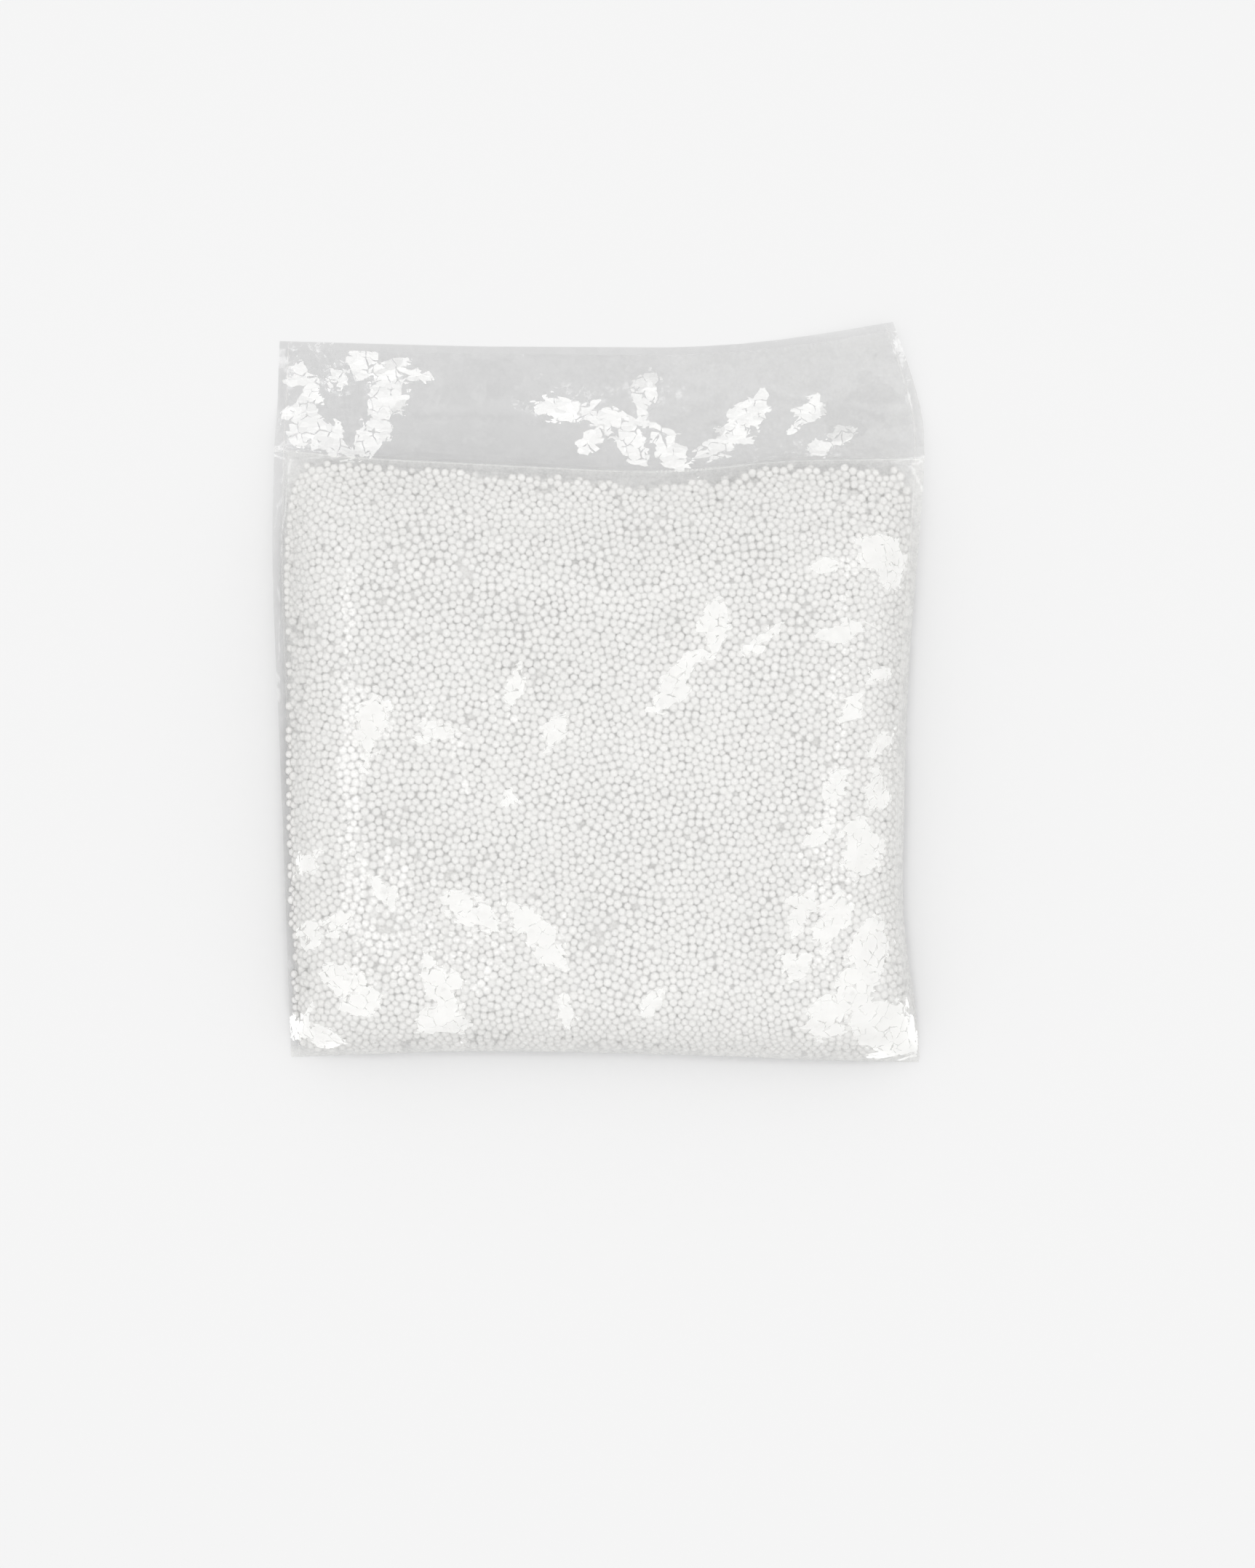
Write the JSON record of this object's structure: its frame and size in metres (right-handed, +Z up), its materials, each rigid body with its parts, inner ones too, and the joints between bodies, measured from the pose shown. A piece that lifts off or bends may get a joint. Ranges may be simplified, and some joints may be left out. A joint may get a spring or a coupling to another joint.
{
  "type": "bag of packing beans",
  "caption": "Clear heat-sealed film bag full of small white foam packing beads, lying flat, with an open header above the seal.",
  "frame": {"origin": "on the surface the bag lies on, under the middle of its outline", "axes": "+X across the bag, +Y from the folded bottom to the open header, +Z up through the bag's depth"},
  "size_m": [0.2502, 0.285, 0.0286],
  "materials": {
    "clear_film": "clear, glossy, softly creased film",
    "foam_bead": "matte expanded foam"
  },
  "bodies": {
    "root": {"bag_film": "clear_film", "bead_heap": "foam_bead", "bead_01": "foam_bead", "bead_02": "foam_bead", "bead_03": "foam_bead", "bead_04": "foam_bead", "bead_05": "foam_bead", "bead_06": "foam_bead", "bead_07": "foam_bead", "bead_08": "foam_bead", "bead_09": "foam_bead", "bead_10": "foam_bead", "bead_11": "foam_bead", "bead_12": "foam_bead", "bead_13": "foam_bead", "bead_14": "foam_bead", "bead_15": "foam_bead", "bead_16": "foam_bead", "bead_17": "foam_bead", "bead_18": "foam_bead", "bead_19": "foam_bead", "bead_20": "foam_bead", "bead_21": "foam_bead", "bead_22": "foam_bead", "bead_23": "foam_bead", "bead_24": "foam_bead", "bead_25": "foam_bead", "bead_26": "foam_bead", "bead_27": "foam_bead", "bead_28": "foam_bead", "bead_29": "foam_bead"}
  },
  "joints": []
}
